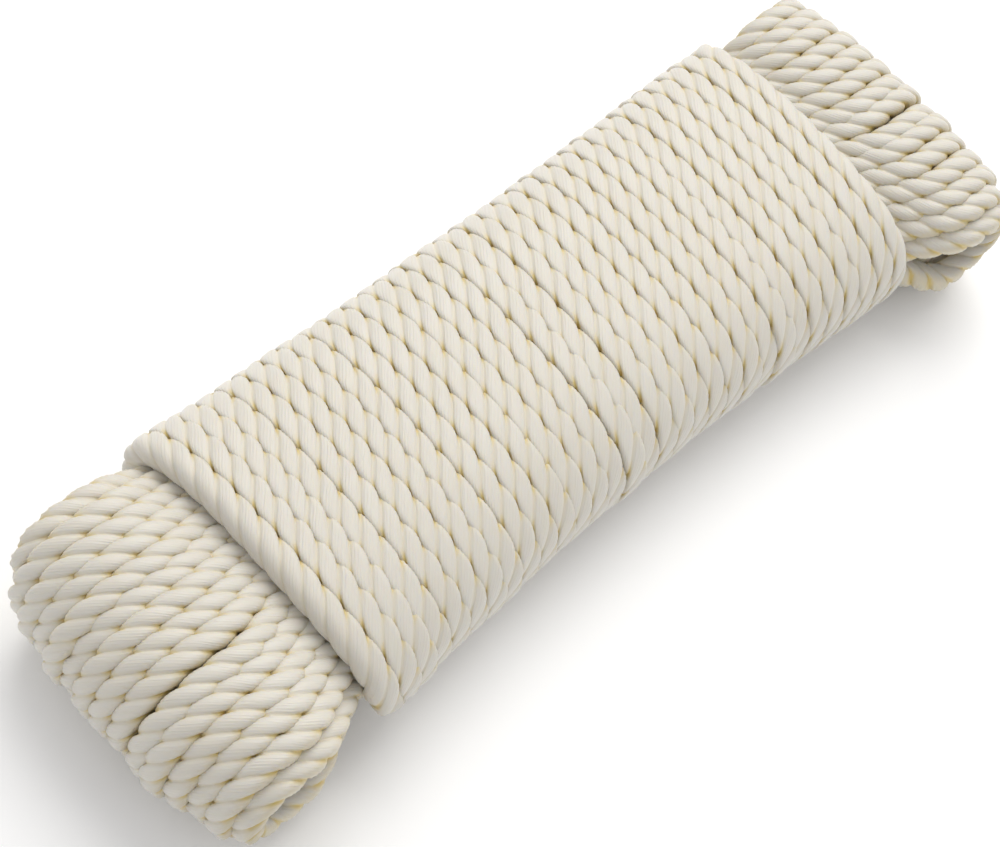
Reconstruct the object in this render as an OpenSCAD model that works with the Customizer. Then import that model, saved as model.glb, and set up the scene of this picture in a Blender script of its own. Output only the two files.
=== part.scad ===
// Hank of three-strand rope: two layers of lengthwise turns, bound by turns wrapped across them.
// X runs along the hank, Y across it and Z up. The hank lies flat with its underside on Z = 0.

/* [Rope] */
// Diameter of the rope
rope_d = 9.5; // [8:0.5:10.5]

/* [Cross wraps] */
// Number of turns wrapped across the hank
wrap_turns = 31; // [24:1:36]
// Width over the cross wraps
wraps_w = 124; // [118:1:134]
// Height over the cross wraps
hank_h = 61; // [58:1:68]

/* [Lengthwise turns] */
// Bare length of the lengthwise turns past the wraps at the near end
near_len = 66; // [60:1:75]
// Bare length of the lengthwise turns past the wraps at the far end
far_len = 62; // [56:1:70]
// Width of the bare turns at the near end
near_w = 130; // [120:1:136]
// Width of the bare turns at the far end
far_w = 138; // [126:1:144]
// How far the lengthwise turns sit to the -Y side of the wraps' middle
core_shift = 6; // [3:1:9]
// Length over which the turns spread out past the wraps
spread_len = 26; // [18:1:30]
// Corner radius of the bare ends, seen from above
corner_r = 12; // [6:1:16]

/* [Tucked end] */
// How far past the middle of the eye the sealed tip lies
tuck_reach = 22; // [10:1:35]
// Length of the sealed tip
tip_len = 5; // [3:0.5:8]

/* [Hidden] */
$fn = 96;
// Room left between solids that lie in one another
gap = 0.2;
// Amount by which a cutting shape runs past what it cuts
over = 1;
wrapped_len = wrap_turns * rope_d;
// Height and width of the room inside the wraps, which the lengthwise turns fill
core_h = hank_h - 2 * rope_d;
core_w = wraps_w - 2 * rope_d;
// Width of the lengthwise turns where they come out of the wraps
waist_w = 88;
// Radius of the fold at each end of the hank, over the outside of the turns
fold_r = hank_h / 2 - 0.5;
// The wraps and the lengthwise turns, set so that the whole hank is centred on the origin
core_low = -core_shift - max(near_w, far_w) / 2;
core_high = max(near_w, far_w) / 2 - core_shift;
hank_y = -(core_low + max(wraps_w / 2, core_high)) / 2;
hank_x = (near_len - far_len) / 2;
mid_z = hank_h / 2;
// Route of the end that leaves the last wrap at its +Y side and is tucked into the eye of the far end,
// as distances past the wraps, across the hank and above its middle
tuck_route = [
    [0.3, 57.2, 2], [3, 57.2, 1.6], [6, 57, 1], [10, 56.4, 0.5], [14, 55, 0],
    [17.5, 52.6, 0], [20.2, 49.4, 0], [21.7, 45.5, 0], [22.3, 41, 0],
    [23, 32, 0], [24, 20, 0], [25, 5, 0], [26, -10, 0], [26, -tuck_reach, 0]
];
tuck_sides = 12;
rope_colour = [0.90, 0.87, 0.79];
wrap_colour = [0.92, 0.89, 0.82];
tip_colour = [0.72, 0.62, 0.44];

// Flat shape with straight top and bottom and half-round sides
module oval(w, h) {
    square([w - h, h], center = true);
    for (s = [-1, 1]) translate([s * (w - h) / 2, 0]) circle(d = h);
}

// Bar along X with an oval section
module oval_bar(len, w, h) {
    rotate([90, 0, 90]) linear_extrude(len, center = true) oval(w, h);
}

// Outline of the lengthwise turns seen from the side: flat under the wraps, round at the folds
module side_outline(inset) {
    mid = core_h / 2 - inset;
    fold = fold_r - inset;
    near_x = -wrapped_len / 2 - near_len + fold_r;
    far_x = wrapped_len / 2 + far_len - fold_r;
    square([wrapped_len, 2 * mid], center = true);
    polygon([
        [near_x, -fold], [-wrapped_len / 2, -mid], [wrapped_len / 2, -mid], [far_x, -fold],
        [far_x, fold], [wrapped_len / 2, mid], [-wrapped_len / 2, mid], [near_x, fold]
    ]);
    for (x = [near_x, far_x]) translate([x, 0]) circle(fold);
}

// Slab across the hank whose outline from the side is that of the turns, inset by some layers
module side_slab(inset) {
    rotate([90, 0, 0]) linear_extrude(2 * wraps_w, center = true) side_outline(inset);
}

// Outline of one bare end seen from above, from the wraps outwards along +X
module end_plan(len, start_w, end_w) {
    x1 = spread_len;
    polygon([[gap, -start_w / 2], [x1, -end_w / 2], [x1, end_w / 2], [gap, start_w / 2]]);
    translate([x1, -end_w / 2]) square([len - corner_r - x1, end_w]);
    translate([x1, -end_w / 2 + corner_r]) square([len - x1, end_w - 2 * corner_r]);
    for (y = [-1, 1]) translate([len - corner_r, y * (end_w / 2 - corner_r)]) circle(corner_r);
}

// Room taken up by lengthwise turns: an oval bar inside the wraps and a spread block at each end
module turns_room(h, w, start_w, near_end_w, far_end_w) {
    oval_bar(wrapped_len + 2 * over, w, h);
    translate([wrapped_len / 2, -core_shift, -fold_r]) linear_extrude(2 * fold_r)
        end_plan(far_len, start_w, far_end_w);
    translate([-wrapped_len / 2, -core_shift, -fold_r]) linear_extrude(2 * fold_r)
        mirror([1, 0]) end_plan(near_len, start_w, near_end_w);
}

// Hollow that the inner turns lie in: an oval bore under the wraps, open to both sides past them
module inner_hollow() {
    intersection() {
        side_slab(rope_d);
        union() {
            oval_bar(wrapped_len + 2 * over, core_w - 2 * rope_d, core_h - 2 * rope_d);
            for (s = [-1, 1]) translate([s * wrapped_len, 0, 0])
                cube([wrapped_len - 2 * gap, 2 * wraps_w, 2 * fold_r], center = true);
        }
    }
}

// Rings of points round a route, each square to the route there
function unit(v) = v / norm(v);
function heading(route, i) =
    unit(route[min(i + 1, len(route) - 1)] - route[max(i - 1, 0)]);
function ring(route, i, r, n) =
    let(t = heading(route, i), side = unit(cross(t, [0, 0, 1])), up = cross(side, t))
    [for (k = [0:n - 1]) route[i] + r * (cos(360 * k / n) * side + sin(360 * k / n) * up)];

// Closed round tube along a route
module tube(route, r, n) {
    last = len(route) - 1;
    points = [for (i = [0:last]) each ring(route, i, r, n)];
    walls = [for (i = [0:last - 1], k = [0:n - 1])
        [i * n + k, i * n + (k + 1) % n, (i + 1) * n + (k + 1) % n, (i + 1) * n + k]];
    start_cap = [for (k = [0:n - 1]) n - 1 - k];
    end_cap = [for (k = [0:n - 1]) last * n + k];
    polyhedron(points, concat([start_cap], walls, [end_cap]));
}

// Puts the hank in its place: centred on the origin, lying on Z = 0
module in_place() {
    translate([hank_x, hank_y, mid_z]) children();
}

module inner_turns() {
    color(rope_colour) in_place() difference() {
        intersection() {
            side_slab(rope_d + gap);
            turns_room(core_h - 2 * rope_d - 2 * gap, core_w - 2 * rope_d - 2 * gap,
                waist_w - rope_d, near_w - rope_d, far_w - rope_d);
        }
        side_slab(2 * rope_d);
    }
}

module outer_turns() {
    color(rope_colour) in_place() difference() {
        intersection() {
            side_slab(0);
            turns_room(core_h - 2 * gap, core_w - 2 * gap, waist_w, near_w, far_w);
        }
        inner_hollow();
    }
}

module cross_wraps() {
    color(wrap_colour) in_place() difference() {
        oval_bar(wrapped_len, wraps_w, hank_h);
        oval_bar(wrapped_len + 2 * over, core_w, core_h);
    }
}

module tucked_end() {
    color(wrap_colour) in_place() translate([wrapped_len / 2, 0, 0])
        tube(tuck_route, rope_d / 2, tuck_sides);
}

// Rope end melted and pressed to a blunt round tip
module sealed_tip() {
    blunt = tip_len / 2;
    color(tip_colour) in_place()
        translate([wrapped_len / 2, 0, 0] + tuck_route[len(tuck_route) - 1]) rotate([90, 0, 0]) {
            cylinder(tip_len - blunt, d = rope_d - 2 * gap);
            translate([0, 0, tip_len - blunt]) cylinder(blunt, d1 = rope_d - 2 * gap, d2 = rope_d * 0.6);
        }
}

inner_turns();
outer_turns();
cross_wraps();
tucked_end();
sealed_tip();
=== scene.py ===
# Looks of a machine-wound hank of three-strand nylon rope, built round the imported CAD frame.
# Metres. X runs along the hank, Y across it and Z up, as in the CAD.
import math

import bmesh
import bpy
import numpy as np
from mathutils import Matrix, Vector


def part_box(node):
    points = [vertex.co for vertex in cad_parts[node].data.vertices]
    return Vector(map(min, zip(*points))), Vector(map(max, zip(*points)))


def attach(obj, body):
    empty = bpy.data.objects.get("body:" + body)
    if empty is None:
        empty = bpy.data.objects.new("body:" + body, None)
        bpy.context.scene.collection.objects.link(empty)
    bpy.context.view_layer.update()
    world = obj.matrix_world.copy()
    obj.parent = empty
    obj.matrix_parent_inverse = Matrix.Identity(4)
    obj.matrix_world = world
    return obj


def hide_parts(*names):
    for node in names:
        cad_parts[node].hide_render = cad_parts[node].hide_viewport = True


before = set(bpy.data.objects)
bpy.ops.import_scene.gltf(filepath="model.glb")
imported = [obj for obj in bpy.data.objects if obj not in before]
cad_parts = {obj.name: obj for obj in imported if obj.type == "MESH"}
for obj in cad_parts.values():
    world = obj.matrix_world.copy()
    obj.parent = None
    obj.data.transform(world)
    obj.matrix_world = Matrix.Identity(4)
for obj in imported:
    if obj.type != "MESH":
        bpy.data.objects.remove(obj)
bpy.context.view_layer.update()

# Camera

cameraSettings = {
    "azimuth": -62.2,
    "elevation": 58.34,
    "roll": 21.52,
    "distance": 0.769,
    "aim": (-0.0293, -0.0099, -0.0020),  # from the middle of the wraps
    "lens": 76.05,
}


def placeCamera(settings, middle):
    turn, lift = math.radians(settings["azimuth"]), math.radians(settings["elevation"])
    back = Vector((math.sin(turn) * math.cos(lift), -math.cos(turn) * math.cos(lift), math.sin(lift)))
    right = Vector((0, 0, 1)).cross(back).normalized()
    axes = Matrix((right, back.cross(right), back)).transposed()
    lens = bpy.data.cameras.new("camera")
    lens.lens, lens.sensor_width = settings["lens"], 36
    lens.clip_start, lens.clip_end = 0.01, 20
    camera = bpy.data.objects.new("camera", lens)
    roll = Matrix.Rotation(math.radians(settings["roll"]), 3, "Z")
    camera.matrix_world = Matrix.Translation(
        middle + Vector(settings["aim"]) + back * settings["distance"]
    ) @ (axes @ roll).to_4x4()
    bpy.context.collection.objects.link(camera)
    bpy.context.scene.camera = camera


wrapsLow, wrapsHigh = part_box("cross_wraps")
hankMiddle = np.array((wrapsLow + wrapsHigh) / 2)
placeCamera(cameraSettings, Vector(hankMiddle))
print("camera placed")

# Route of the rope

rope = {
    "diameter": 0.0095,
    "lay": 0.0292,  # length in which a strand goes once round the rope
    "step": 0.0006,  # spacing of the points that a route is worked out on
    "easing": 30,  # rounds of smoothing where stretches meet
}
ropeD = rope["diameter"]

wraps = {
    "turns": 31,
    "halfWidth": 0.0566,  # middle of the rope, at the hank's waist
    "flare": 0.0052,  # how much wider the wraps are at the ends than at the waist
    "halfHeight": 0.0251,
    "turnLength": 0.285,  # about; only sets how many points a turn has
    "squareness": 2.7,  # 2 is an ellipse, more is boxier
    "spacingWobble": 0.00045,
    "swellWobble": 0.007,  # how much bigger or smaller a turn is than the next
    # Strands that pass in one turn, by the count of turns
    "strandsPassing": [(3, 27.68), (4, 26.68), (7, 26.68), (8, 25.72), (10, 25.72), (11, 24.74),
                       (13, 24.74), (14, 23.74), (19, 23.74), (20, 24.68)],
    "lean": (0.0017, -0.0040),  # lean of a turn along the hank: at the middle, change to the far end
    "crowding": (-0.0008, 0.0019),  # how far the turns are pushed along the hank: tilt and bow
    "sway": (0.0024, -0.0019),  # how far the hank bends to the side: tilt and bow
    "wound": (0.03, 30.42),  # counts of turns at which the wraps start and end
    "seed": 4,
}
wraps["halfLength"] = wraps["turns"] * ropeD / 2

core = {
    "outerTurns": 15,
    "innerTurns": 10,
    "hideDepth": 0.008,  # how deep under the wraps the turns begin to spread
    "spreadTo": 0.026,  # how far past the wraps they have spread out
    "wobble": 0.0011,
    "looseness": 0.13,  # how unevenly the turns lie in the bare ends, as a share of their spacing
    "foldRadius": 0.025,  # about; only sets how many points a fold has
    "seed": 11,
}

# The bare ends: direction along X, length past the wraps, width over the turns, half depth and half height of
# the fold, how far the turns sit to the side, how much shorter the outermost folds are on the +Y and -Y
# sides, how square the bundle of turns is, and how low its turns come on those sides (a share of its height)
ends = {
    "near": {"sign": -1, "seed": 5, "length": 0.0662, "width": 0.1300, "foldDepth": 0.0270,
             "foldRise": 0.02525, "shift": -0.0080, "cornerDrop": (0.005, 0.012), "squareness": 4.2,
             "lowest": (0.75, 0.60)},
    "far": {"sign": 1, "seed": 9, "length": 0.0618, "width": 0.1400, "foldDepth": 0.0195,
            "foldRise": 0.02525, "shift": -0.0045, "cornerDrop": (0.003, 0.010), "squareness": 4.2,
            "lowest": (0.85, 0.60)},
}

# Route of the end that leaves the last wrap and is tucked into the eye of the far end:
# distances past the wraps, across the hank and above its middle
tuckRoute = [
    (0.0003, 0.0572, 0.0020), (0.0030, 0.0572, 0.0016), (0.0060, 0.0570, 0.0010),
    (0.0100, 0.0564, 0.0005), (0.0140, 0.0550, 0.0), (0.0175, 0.0526, 0.0),
    (0.0202, 0.0494, 0.0), (0.0217, 0.0455, 0.0), (0.0223, 0.0410, 0.0),
    (0.0230, 0.0320, 0.0), (0.0240, 0.0200, 0.0), (0.0250, 0.0050, 0.0),
    (0.0260, -0.0100, 0.0), (0.0260, -0.0220, 0.0),
]


def smooth(t):
    t = np.clip(t, 0, 1)
    return t * t * (3 - 2 * t)


def ovalTable(squareness, wide, high, count=6000):
    # Places round a unit oval by share of its arc: -Y side, top, +Y side, underside
    angle = np.linspace(math.pi, -math.pi, count)
    y = np.sign(np.cos(angle)) * np.abs(np.cos(angle)) ** (2 / squareness)
    z = np.sign(np.sin(angle)) * np.abs(np.sin(angle)) ** (2 / squareness)
    step = np.hypot(np.diff(y * wide), np.diff(z * high))
    return np.concatenate([[0], np.cumsum(step)]) / step.sum(), y, z


wrapOval = ovalTable(wraps["squareness"], wraps["halfWidth"], wraps["halfHeight"])
outerOval = ovalTable(2.4, wraps["halfWidth"] - ropeD, wraps["halfHeight"] - ropeD)
innerOval = ovalTable(2.2, wraps["halfWidth"] - 2 * ropeD, wraps["halfHeight"] - 2 * ropeD)


def onOval(table, share, wide, high):
    share = np.mod(share, 1)
    return wide * np.interp(share, table[0], table[1]), high * np.interp(share, table[0], table[2])


def waist(x):
    u = x / wraps["halfLength"]
    return wraps["halfWidth"] + wraps["flare"] * (u * u - 0.4)


def sway(u):
    return wraps["sway"][0] * u + wraps["sway"][1] * (u * u - 0.4)


def wrapTurns(first, last):
    return np.arange(first, last, rope["step"] / wraps["turnLength"])


def wrapPoints(first, last):
    # The helix of the wraps between two counts of turns; 0 is the -Y side of the first wrap
    turn = wrapTurns(first, last)
    rng = np.random.default_rng(wraps["seed"])
    eachTurn = np.arange(-1, wraps["turns"] + 1)
    spacingNoise = rng.normal(0, wraps["spacingWobble"], len(eachTurn))
    swellNoise = rng.normal(0, wraps["swellWobble"], len(eachTurn))
    swell = 1 + np.interp(turn, eachTurn, swellNoise)
    x = -wraps["halfLength"] + ropeD * (turn + 0.25)
    x += np.interp(turn, eachTurn, spacingNoise)
    u = x / wraps["halfLength"]
    around = 2 * math.pi * (turn - 0.25)
    y, z = onOval(wrapOval, turn, waist(x), wraps["halfHeight"])
    x = x - (wraps["lean"][0] + wraps["lean"][1] * u) * (np.sin(around) - 0.35 * np.sin(2 * around))
    x += wraps["crowding"][0] * u + wraps["crowding"][1] * u * u
    return np.stack([x, y * swell + sway(u), z * np.minimum(swell, 1)], 1)


def endPlace(end, layer, slot):
    # Where a turn lies in a bare end: evenly round the upper half of an oval
    outer = layer == "outer"
    count = core["outerTurns"] if outer else core["innerTurns"]
    inset = 0 if outer else ropeD
    wide, high = (end["width"] - ropeD) / 2 - inset, end["foldRise"] - inset
    plusLow, minusLow = end["lowest"] if outer else (0.85, 0.75)
    table = ovalTable(end["squareness"], wide, high)
    first, last = table[0][table[2] >= minusLow][0], table[0][table[2] >= plusLow][-1]
    slots = np.arange(count)
    uneven = np.random.default_rng(end["seed"] + count).normal(0, core["looseness"], (2, count))
    uneven[0] *= np.sin(math.pi * slots / (count - 1)) ** 0.5
    slot = np.asarray(slot, float)
    high = high * (1 + 0.1 * np.interp(slot, slots, np.minimum(uneven[1], 0)))
    share = last + (first - last) * (slot + np.interp(slot, slots, uneven[0])) / (count - 1)
    across = wide * np.interp(share, table[0], table[1])
    return end["shift"] + across, high * np.interp(share, table[0], table[2])


def layerPlace(layer, slot, side, x):
    # Where a lengthwise turn lies across the hank at x; side is 1 in the top run and -1 in the bottom one
    outer = layer == "outer"
    count = core["outerTurns"] if outer else core["innerTurns"]
    share = 0.5 * (count - slot - 0.5) / count
    depth = 1 if outer else 2
    table = outerOval if outer else innerOval
    wide = waist(np.clip(x, -wraps["halfLength"], wraps["halfLength"])) - depth * ropeD
    high = wraps["halfHeight"] - depth * ropeD
    y0, z0 = onOval(table, share if side > 0 else 1 - share, wide, high)
    y1, z1 = np.zeros_like(x), np.zeros_like(x)
    for end in ends.values():
        here = np.sign(x) == end["sign"]
        y, z = endPlace(end, layer, slot)
        y1, z1 = np.where(here, y, y1), np.where(here, side * z, z1)
    past = np.abs(x) - wraps["halfLength"]
    blend = smooth((past + core["hideDepth"]) / (core["spreadTo"] + core["hideDepth"]))
    y0 = y0 + sway(np.clip(x / wraps["halfLength"], -1, 1))
    return y0 + (y1 - y0) * blend, z0 + (z1 - z0) * blend


def foldDepth(end, layer, slot):
    # The turns at the sides lie lower, and fold closer
    z = endPlace(end, layer, slot)[1]
    return z + (end["foldDepth"] - end["foldRise"]) * (z / end["foldRise"]) ** 2


def foldCentre(end, layer, slot, wobble):
    count = core["outerTurns"] if layer == "outer" else core["innerTurns"]
    q = (slot - (count - 1) / 2) / ((count - 1) / 2)
    drop = end["cornerDrop"][int(q > 0)] * q**4
    reach = wraps["halfLength"] + end["length"] - ropeD * (0.5 if layer == "outer" else 1.4)
    return end["sign"] * (reach - foldDepth(end, layer, slot) - drop + wobble)


def foldPoints(end, layer, slot, centre, angle):
    y, z = endPlace(end, layer, slot)
    depth = foldDepth(end, layer, slot)
    return np.stack([
        centre + end["sign"] * depth * np.abs(np.cos(angle)), np.full_like(angle, y), z * np.sin(angle),
    ], 1)


def coreTurn(layer, slot, nextSlot, wobbles, start=None):
    # One lengthwise turn: top run to the far end, its fold, bottom run back, and the near fold
    near, far = ends["near"], ends["far"]
    xNear = foldCentre(near, layer, slot, wobbles[0])
    xFar = foldCentre(far, layer, slot, wobbles[1])
    xBack = foldCentre(near, layer, nextSlot, wobbles[2])
    parts = []
    x = np.arange(xNear if start is None else start, xFar, rope["step"])
    y, z = layerPlace(layer, slot, 1, x)
    parts.append(np.stack([x, y, z], 1))
    angle = np.arange(math.pi / 2, -math.pi / 2, -rope["step"] / core["foldRadius"])
    parts.append(foldPoints(far, layer, slot, xFar, angle))
    x = np.arange(xFar, xBack, -rope["step"])
    drift = slot + (nextSlot - slot) * smooth(0.5 - x / (2 * (wraps["halfLength"] - 0.03)))
    y, z = layerPlace(layer, drift, -1, x)
    parts.append(np.stack([x, y, z], 1))
    angle = np.arange(-math.pi / 2, math.pi / 2, rope["step"] / core["foldRadius"])
    parts.append(foldPoints(near, layer, nextSlot, xBack, angle))
    return parts


def bezier(start, startWay, end, endWay, startPull, endPull):
    a, d = np.array(start, float), np.array(end, float)
    b, c = a + np.array(startWay, float) * startPull, d - np.array(endWay, float) * endPull
    t = np.linspace(0, 1, 60)[:, None]
    return a * (1 - t) ** 3 + 3 * b * t * (1 - t) ** 2 + 3 * c * t * t * (1 - t) + d * t**3


def way(points, atEnd):
    step = points[-1] - points[-3] if atEnd else points[2] - points[0]
    return step / np.linalg.norm(step)


def throughPoints(points, per=24):
    # Smooth line through a few points
    p = np.array(points, float)
    p = np.vstack([2 * p[0] - p[1], p, 2 * p[-1] - p[-2]])
    t = np.linspace(0, 1, per, endpoint=False)[:, None]
    out = []
    for a, b, c, d in zip(p, p[1:], p[2:], p[3:]):
        square, cube = 2 * a - 5 * b + 4 * c - d, 3 * b - a - 3 * c + d
        out.append(0.5 * (2 * b + (c - a) * t + square * t**2 + cube * t**3))
    return np.vstack([*out, p[-2:-1]])


def layRope():
    # The whole length of rope as one line, with the names of its stretches
    rng = np.random.default_rng(core["seed"])
    stretches = []
    inner = []
    wobbles = rng.normal(0, core["wobble"], (core["innerTurns"] + 1, 2))
    for slot in range(core["innerTurns"] - 1, -1, -1):
        start = -0.02 if slot == core["innerTurns"] - 1 else None
        following = slot - 1 if slot else -0.5
        inner += coreTurn("inner", slot, following, (*wobbles[slot + 1], wobbles[slot][0]), start)
    inner.pop()
    outer = []
    wobbles = rng.normal(0, core["wobble"], (core["outerTurns"] + 1, 2))
    for slot in range(core["outerTurns"]):
        following = min(slot + 1, core["outerTurns"] - 1)
        outer += coreTurn("outer", slot, following, (*wobbles[slot], wobbles[slot + 1][0]))
    outer.pop()
    # The inner layer goes over into the outer one at the near fold, on the +Y side
    firstTop = outer[0][0]
    lastBottom = inner[-1][-1]
    angle = np.arange(-math.pi / 2, math.pi / 2, rope["step"] / core["foldRadius"])
    share = smooth(np.linspace(0, 1, len(angle)))
    depth = (ends["near"]["foldDepth"] - ropeD * (1 - share)) * 0.7
    inner.append(np.stack([
        lastBottom[0] + (firstTop[0] - lastBottom[0]) * share - depth * np.cos(angle),
        lastBottom[1] + (firstTop[1] - lastBottom[1]) * share,
        (abs(lastBottom[2]) + (firstTop[2] - abs(lastBottom[2])) * share) * np.sin(angle),
    ], 1))
    # The last bottom run stops under the wraps, and turns up the -Y side into the first wrap
    last = outer[-1]
    last = last[last[:, 0] > -wraps["halfLength"] + 4 * ropeD]
    outer[-1] = last
    helix = wrapPoints(*wraps["wound"])
    lead = bezier(last[-1], way(last, True), helix[0], way(helix, False), 0.006, 0.020)
    tuck = throughPoints(np.array(tuckRoute[4:]) + [wraps["halfLength"], 0, 0])
    out = bezier(helix[-1], way(helix, True), tuck[0], way(tuck, False), 0.016, 0.008)
    minusY, plusX, plusZ = (0, -1, 0), (1, 0, 0), (0, 0, 1)
    for name, parts, sideA, sideB in (
        ("inner", inner, minusY, minusY),
        ("outer", outer, minusY, minusY),
        ("lead", [lead], minusY, plusX),
        ("wraps", [helix], plusX, plusX),
        ("tail", [out], plusX, plusZ),
        ("tail", [tuck], plusZ, plusZ),
    ):
        points = np.vstack(parts)
        t = smooth(np.linspace(0, 1, len(points)))[:, None]
        side = np.array(sideA, float) * (1 - t) + np.array(sideB, float) * t
        turn = np.full(len(points), wraps["wound"][int(name == "tail")])
        if name == "wraps":
            turn = wrapTurns(*wraps["wound"])
        stretches.append((name, points, np.column_stack([side, turn])))
    return stretches


def evenLine(stretches):
    # One line with no doubled points: lengths, points, side directions, counts of turns, and stretches
    points = np.vstack([p for _, p, _ in stretches])
    sides = np.vstack([s for _, _, s in stretches])
    names = np.concatenate([[i] * len(p) for i, (_, p, _) in enumerate(stretches)])
    length = np.concatenate([[0], np.cumsum(np.linalg.norm(np.diff(points, axis=0), axis=1))])
    keep = np.concatenate([[True], np.diff(length) > 1e-6])
    points, sides, names, length = points[keep], sides[keep], names[keep], length[keep]
    at = np.arange(0, length[-1], rope["step"])
    points = np.stack([np.interp(at, length, points[:, k]) for k in range(3)], 1)
    sides = np.stack([np.interp(at, length, sides[:, k]) for k in range(4)], 1)
    names = names[np.minimum(np.searchsorted(length, at), len(names) - 1)]
    for _ in range(rope["easing"]):  # takes the corners off where stretches meet
        points[1:-1] = (points[:-2] + 2 * points[1:-1] + points[2:]) / 4
    return at, points, sides[:, :3], sides[:, 3], names


def frames(points, sides):
    along = np.gradient(points, axis=0)
    along /= np.linalg.norm(along, axis=1)[:, None]
    out = np.cross(sides, along)
    out /= np.linalg.norm(out, axis=1)[:, None]
    return out, np.cross(along, out)


stretches = layRope()
at, line, sides, turns, inStretch = evenLine(stretches)
line += hankMiddle
out, across = frames(line, sides)
stretchNames = np.array([name for name, _, _ in stretches])[inStretch]
ropeLength = float(np.linalg.norm(np.diff(line, axis=0), axis=1).sum())
print(f"rope laid, {ropeLength:.2f} m")

# Surface of the rope

strand = {
    # Radius over the strands' crests, a little over half a diameter as the turns press; the radius of a
    # strand as a share of that; the depth between two strands; and how strongly painted yellow-brown shade
    # darkens the line where turns touch
    "wraps": {"radius": 0.00545, "thickness": 0.83, "groove": 0.0006, "contactShade": 0.10},
    "turns": {"radius": 0.0053, "thickness": 0.75, "groove": 0.0006, "contactShade": 0.35},
    "grooveWidth": 0.22,  # radians
    "wrapPress": 8.0,  # how square the wraps are pressed by their neighbours; 2 is round
    "endPress": 3.0,  # the same for the bare ends
    "freePress": 2.2,  # and for a side with no neighbour
    "points": 48,
    "spacing": {"inner": 0.0028, "outer": 0.0018, "other": 0.0016},  # of the rings, where they show
    "hiddenSpacing": 0.008,  # of the rings under the wraps
    "hiddenFrom": 0.012,  # how far under the wraps a ring is hidden
}


def strandOutline(form, count):
    # Angle, radius and nearness to a groove at each point round a section of three strands
    angle = np.arange(count) * 2 * math.pi / count
    third = 2 * math.pi / 3
    lobe = np.round(angle / third).astype(int)
    local = angle - lobe * third
    share = form["thickness"]
    reach = (1 - share) * np.cos(local) + np.sqrt(share**2 - ((1 - share) * np.sin(local)) ** 2)
    groove = np.exp(-(((math.pi / 3 - np.abs(local)) / strand["grooveWidth"]) ** 2))
    return angle, form["radius"] * reach, groove


def lobeAngle(form, angle, lobe):
    # Angle round the middle of one strand, as a share of a turn
    third = 2 * math.pi / 3
    local = angle - lobe * third
    local = np.arctan2(np.sin(local), np.cos(local))
    share = form["thickness"]
    inside = np.maximum(share**2 - ((1 - share) * np.sin(local)) ** 2, 0)
    reach = (1 - share) * np.cos(local) + np.sqrt(inside)
    return np.arctan2(reach * np.sin(local), reach * np.cos(local) - (1 - share)) / (2 * math.pi)


def ringStations(first, last):
    # Places of the rings between two lengths: close together where they show, further apart under the wraps
    inside = (at >= first) & (at <= last)
    name = stretchNames[inside]
    x = line[inside][:, 0] - hankMiddle[0]
    under = np.abs(x) < wraps["halfLength"] - strand["hiddenFrom"]
    hidden = np.isin(name, ["inner", "outer"]) & under
    shown = strand["spacing"]
    fine = np.array([shown.get(each, shown["other"]) for each in name])
    spacing = np.where(hidden, strand["hiddenSpacing"], fine)
    count = np.concatenate([[0], np.cumsum(rope["step"] / spacing[:-1])])
    rings = np.linspace(0, count[-1], int(round(count[-1])) + 1)
    return np.interp(rings, count, at[inside])


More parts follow.
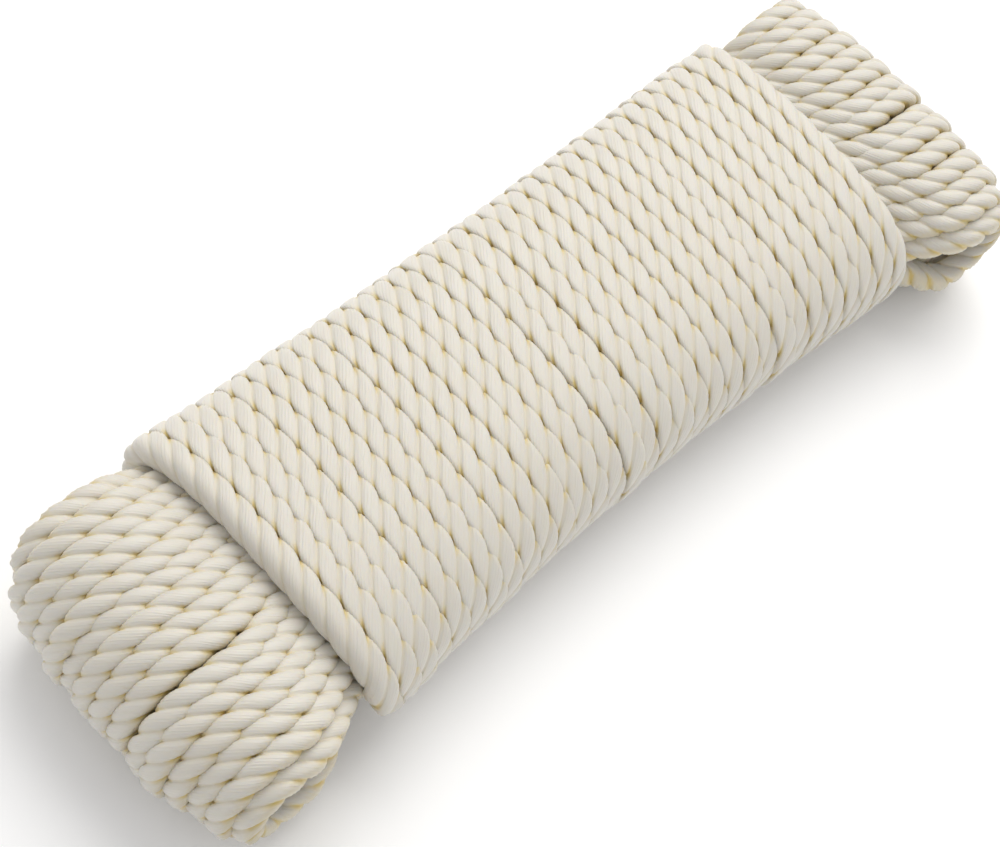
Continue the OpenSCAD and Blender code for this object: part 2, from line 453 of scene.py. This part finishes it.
def ropeMesh(name, first, last, twist):
    # A three-lobed tube along one stretch of the line
    stations = ringStations(first, last)
    centre, outward, sideways = (
        np.stack([np.interp(stations, at, values[:, k]) for k in range(3)], 1)
        for values in (line, out, across)
    )
    outward /= np.linalg.norm(outward, axis=1)[:, None]
    sideways /= np.linalg.norm(sideways, axis=1)[:, None]
    form = strand["turns" if "Turns" in name else "wraps"]
    angle, reach, groove = strandOutline(form, strand["points"])
    turned = angle[None, :] + np.interp(stations, at, twist)[:, None]
    sine, cosine = np.sin(turned), np.cos(turned)
    plus, minus = (np.interp(stations, at, values)[:, None] for values in pressed)
    p = np.where(sine > 0, plus, minus)
    # The grooves are deepest at the sides, where they leave a pit against the next turn
    reach = reach - form["groove"] * groove * (0.5 + 0.5 * np.abs(sine) ** 4)
    up = reach * np.sign(cosine) * np.maximum(1 - np.abs(sine) ** p, 0) ** (1 / p)
    side = reach * sine
    points = centre[:, None] + up[..., None] * outward[:, None] + side[..., None] * sideways[:, None]
    rings, n = len(stations), strand["points"]
    ring, k = np.meshgrid(np.arange(rings - 1), np.arange(n), indexing="ij")
    nextK = (k + 1) % n
    corners = [ring * n + k, ring * n + nextK, (ring + 1) * n + nextK, (ring + 1) * n + k]
    faces = np.stack(corners, -1).reshape(-1, 4)
    mesh = bpy.data.meshes.new(name)
    mesh.vertices.add(rings * n)
    mesh.vertices.foreach_set("co", points.reshape(-1).astype(np.float32))
    mesh.loops.add(faces.size)
    mesh.loops.foreach_set("vertex_index", faces.reshape(-1).astype(np.int32))
    mesh.polygons.add(len(faces))
    mesh.polygons.foreach_set("loop_start", np.arange(0, faces.size, 4, dtype=np.int32))
    mesh.update(calc_edges=True)
    mesh.validate()
    # Pattern coordinates: metres along the rope, and strand number plus the share of a turn round it
    third = 2 * math.pi / 3
    lobe = np.round((angle + 0.5 * angle[1]) / third) % 3
    startV = lobe + lobeAngle(form, angle, lobe)
    endV = lobe + lobeAngle(form, np.append(angle[1:], 2 * math.pi), lobe)
    u = stations[ring]
    uNext = stations[ring + 1]
    uv = np.stack([
        np.stack([u, startV[k]], -1), np.stack([u, endV[k]], -1),
        np.stack([uNext, endV[k]], -1), np.stack([uNext, startV[k]], -1),
    ], 2)
    layer = mesh.uv_layers.new(name="ropeUv")
    layer.uv.foreach_set("vector", uv.reshape(-1).astype(np.float32))
    # How far a point lies down between this turn and its neighbour, and between two strands: the masks of the
    # painted shade in the lines between turns, the pits and the grooves
    pressedSide = smooth((p - 2.3) / 0.6)
    beside = smooth((np.abs(side) / (ropeD / 2) - 0.74) / 0.24) * pressedSide
    pit = smooth((np.abs(sine) - 0.45) / 0.45) * pressedSide * groove**0.6
    # Painted shade: yellow-brown darkening down between turns, in the pits and in the grooves between strands
    creviceShade = np.clip(beside * form["contactShade"] + pit * 0.85 + 0.22 * groove, 0, 1)
    attribute = mesh.attributes.new("creviceShade", "FLOAT", "POINT")
    attribute.data.foreach_set("value", creviceShade.reshape(-1).astype(np.float32))
    mesh.shade_smooth()
    piece = bpy.data.objects.new(name, mesh)
    bpy.context.collection.objects.link(piece)
    closeEnds(mesh)
    return piece, centre


def closeEnds(mesh):
    made = bmesh.new()
    made.from_mesh(mesh)
    ends = [e for e in made.edges if e.is_boundary]
    bmesh.ops.holes_fill(made, edges=ends, sides=0)
    for edge in ends:
        edge.smooth = False
    bmesh.ops.recalc_face_normals(made, faces=made.faces)
    made.to_mesh(mesh)
    made.free()


def windTwist():
    # Turn of the strands along the rope. Round the wraps a whole number of strands and about three quarters
    # pass in each turn, so that the strands of neighbouring wraps run on into each other.
    rate = np.full(len(at), 2 * math.pi / rope["lay"])
    wound = stretchNames == "wraps"
    passing = np.interp(turns, *zip(*wraps["strandsPassing"]))
    rate[wound] = (passing * 2 * math.pi / 3 * np.gradient(turns) / rope["step"])[wound]
    return np.cumsum(rate) * rope["step"]


def pressing():
    # How square each side of the rope is pressed, along its length: +across, then -across
    wound = stretchNames == "wraps"
    plus = np.where(wound, strand["wrapPress"], strand["endPress"])
    minus = plus.copy()
    plus[wound & (turns > wraps["turns"] - 1.3)] = strand["freePress"]
    minus[wound & (turns < 1)] = strand["freePress"]
    soften = np.ones(15) / 15
    return [np.convolve(np.pad(side, 7, "edge"), soften, "valid") for side in (plus, minus)]


twist = windTwist()
pressed = pressing()

# Lengths of rope, as pieces

# The lengthwise turns are cut where the wraps cover them, and the wraps on the underside
cutting = {
    "wrapTurns": (10.75, 20.75),
    "coveredHalf": 0.06,  # how far from the middle of the hank a lengthwise turn may be cut
}

wound = stretchNames == "wraps"
lastWrap = at[wound][-1]
wrapCuts = np.interp(cutting["wrapTurns"], turns[wound], at[wound])
lastOuter = at[stretchNames == "outer"][-1]
covered = np.abs(line[:, 0] - hankMiddle[0]) < cutting["coveredHalf"]
coveredOuter = at[(stretchNames == "outer") & covered]
firstOuter = coveredOuter[0]
middleOuter = coveredOuter[np.argmin(np.abs(coveredOuter - (firstOuter + lastOuter) / 2))]
cuts = [
    ("coreTurns", 0, firstOuter, ["inner_turns"]),
    ("outerTurnsA", firstOuter, middleOuter, []),
    ("outerTurnsB", middleOuter, lastOuter, ["outer_turns"]),
    ("wrapsA", lastOuter, wrapCuts[0], []),
    ("wrapsB", wrapCuts[0], wrapCuts[1], []),
    ("wrapsC", wrapCuts[1], lastWrap, ["cross_wraps"]),
    ("tail", lastWrap, at[-1], ["tucked_end"]),
]
pieces = {}
for name, first, last, nodes in cuts:
    piece, centre = ropeMesh(name, first, last, twist)
    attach(piece, "root")
    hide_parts(*nodes)
    lastPiece = name == "tail"
    pieces[name] = piece

# Materials


class Socket:
    # A shader socket that can be used in sums
    def __init__(self, tree, link):
        self.tree, self.link = tree, link

    def math(self, operation, *values):
        return node(self.tree, "ShaderNodeMath", {"operation": operation}, dict(enumerate(values)))

    def __add__(self, other):
        return self.math("ADD", self, other)

    def __radd__(self, other):
        return self.math("ADD", other, self)

    def __sub__(self, other):
        return self.math("SUBTRACT", self, other)

    def __rsub__(self, other):
        return self.math("SUBTRACT", other, self)

    def __mul__(self, other):
        return self.math("MULTIPLY", self, other)

    def __rmul__(self, other):
        return self.math("MULTIPLY", other, self)

    def __pow__(self, other):
        return self.math("POWER", self, other)


def node(tree, kind, settings, inputs, output=0):
    made = tree.nodes.new(kind)
    for key, value in settings.items():
        setattr(made, key, value)
    for key, value in inputs.items():
        if isinstance(value, Socket):
            tree.links.new(value.link, made.inputs[key])
        else:
            made.inputs[key].default_value = value
    return Socket(tree, made.outputs[output])


nylon = {
    "ivory": (0.665, 0.645, 0.59, 1),
    "cream": (0.63, 0.585, 0.50, 1),
    # painted shade, mixed in down between turns, in the pits and in the grooves
    "shadeOchre": (0.64, 0.50, 0.18, 1),
    "yarns": 18,
    "yarnTurn": 0.034,
    "yarnDepth": 0.00018,
    "fuzz": 90.0,  # changes of the threads' pattern in a metre
    "roughness": 0.45,
    "sheen": 0.25,
    "subsurface": 0.5,
    "subsurfaceRadius": (0.0024, 0.0018, 0.0010),
}


def nylonMaterial():
    material = bpy.data.materials.new("twistedNylon")
    material.use_nodes = True
    tree = material.node_tree
    shader = tree.nodes["Principled BSDF"]
    uv = node(tree, "ShaderNodeUVMap", {"uv_map": "ropeUv"}, {})
    parts = tree.nodes.new("ShaderNodeSeparateXYZ")
    tree.links.new(uv.link, parts.inputs[0])
    length, around = Socket(tree, parts.outputs["X"]), Socket(tree, parts.outputs["Y"])
    place = node(tree, "ShaderNodeTexCoord", {}, {}, "Object")
    creviceShade = node(tree, "ShaderNodeAttribute", {"attribute_name": "creviceShade"}, {}, "Fac")
    phase = around * nylon["yarns"] + length * (1 / nylon["yarnTurn"])
    ridge = phase.math("SINE", phase * (2 * math.pi))
    threads = node(tree, "ShaderNodeCombineXYZ", {}, {0: phase, 1: length * nylon["fuzz"]})
    strands = node(tree, "ShaderNodeTexNoise", {}, {"Vector": threads, "Scale": 1.0, "Detail": 3.0})
    hairs = node(tree, "ShaderNodeTexNoise", {}, {"Vector": threads, "Scale": 3.1, "Detail": 2.0})
    yarn = ridge * 0.12 + strands * 1.0 + hairs * 0.7
    patches = node(tree, "ShaderNodeTexNoise", {}, {"Vector": place, "Scale": 60.0, "Detail": 3.0})
    base = node(tree, "ShaderNodeMix", {"data_type": "RGBA"},
                {0: patches * 0.6 + strands * 0.4, 6: nylon["ivory"], 7: nylon["cream"]}, 2)
    # Painted shade: the yellow-brown is mixed into the base colour down between turns, in the pits and
    # grooves
    deep = creviceShade ** 1.2
    colour = node(tree, "ShaderNodeMix", {"data_type": "RGBA"}, {0: deep, 6: base, 7: nylon["shadeOchre"]}, 2)
    tree.links.new(colour.link, shader.inputs["Base Color"])
    shader.inputs["Roughness"].default_value = nylon["roughness"]
    shader.inputs["Sheen Weight"].default_value = nylon["sheen"]
    shader.inputs["Subsurface Weight"].default_value = nylon["subsurface"]
    shader.inputs["Subsurface Radius"].default_value = nylon["subsurfaceRadius"]
    bump = tree.nodes.new("ShaderNodeBump")
    bump.inputs["Distance"].default_value = nylon["yarnDepth"]
    bump.inputs["Strength"].default_value = 1.0
    tree.links.new(yarn.link, bump.inputs["Height"])
    tree.links.new(bump.outputs[0], shader.inputs["Normal"])
    return material


melted = {
    "amber": (0.42, 0.27, 0.10, 1),
    "brown": (0.20, 0.11, 0.04, 1),
    "roughness": 0.28,
    "blisterScale": 700.0,
    "blisterDepth": 0.0003,
}


def meltedMaterial():
    material = bpy.data.materials.new("meltedNylon")
    material.use_nodes = True
    tree = material.node_tree
    shader = tree.nodes["Principled BSDF"]
    place = node(tree, "ShaderNodeTexCoord", {}, {}, "Object")
    blisters = node(tree, "ShaderNodeTexNoise", {},
                    {"Vector": place, "Scale": melted["blisterScale"], "Detail": 2.0})
    colour = node(tree, "ShaderNodeMix", {"data_type": "RGBA"},
                  {0: blisters, 6: melted["amber"], 7: melted["brown"]}, 2)
    tree.links.new(colour.link, shader.inputs["Base Color"])
    shader.inputs["Roughness"].default_value = melted["roughness"]
    bump = tree.nodes.new("ShaderNodeBump")
    bump.inputs["Distance"].default_value = melted["blisterDepth"]
    tree.links.new(blisters.link, bump.inputs["Height"])
    tree.links.new(bump.outputs[0], shader.inputs["Normal"])
    return material


ropeLook = nylonMaterial()
for piece in pieces.values():
    piece.data.materials.append(ropeLook)
tipLook = meltedMaterial()
for tipSlot in bpy.data.objects["sealed_tip"].material_slots:
    tipSlot.material = tipLook
print("materials made")

# Studio

studio = {
    "floor": (0.97, 0.97, 0.97, 1),
    "world": 0.70,
    "worldColour": (0.985, 0.985, 1, 1),
    "keyPlace": (1.8, 1.0, 2.6),
    "keySize": 2.8,
    "keyPower": 84,
    "keyColour": (1, 0.985, 0.95),
}


def makeFloor():
    made = bmesh.new()
    bmesh.ops.create_grid(made, x_segments=1, y_segments=1, size=4)
    mesh = bpy.data.meshes.new("floor")
    made.to_mesh(mesh)
    made.free()
    floor = bpy.data.objects.new("floor", mesh)
    bpy.context.collection.objects.link(floor)
    material = bpy.data.materials.new("paleFloor")
    material.use_nodes = True
    material.node_tree.nodes["Principled BSDF"].inputs["Base Color"].default_value = studio["floor"]
    material.node_tree.nodes["Principled BSDF"].inputs["Roughness"].default_value = 0.9
    mesh.materials.append(material)


def makeLight(name, place, aim, size, power, colour):
    lamp = bpy.data.lights.new(name, "AREA")
    lamp.size, lamp.energy, lamp.color = size, power, colour
    light = bpy.data.objects.new(name, lamp)
    light.location = place
    light.rotation_euler = (Vector(aim) - Vector(place)).to_track_quat("-Z", "Y").to_euler()
    bpy.context.collection.objects.link(light)


makeFloor()
world = bpy.data.worlds.new("world")
bpy.context.scene.world = world
world.use_nodes = True
world.node_tree.nodes["Background"].inputs[0].default_value = studio["worldColour"]
world.node_tree.nodes["Background"].inputs[1].default_value = studio["world"]
makeLight("key", studio["keyPlace"], (0, 0, 0), studio["keySize"], studio["keyPower"],
          studio["keyColour"])
bpy.context.scene.view_settings.view_transform = "Standard"
print("studio lit")
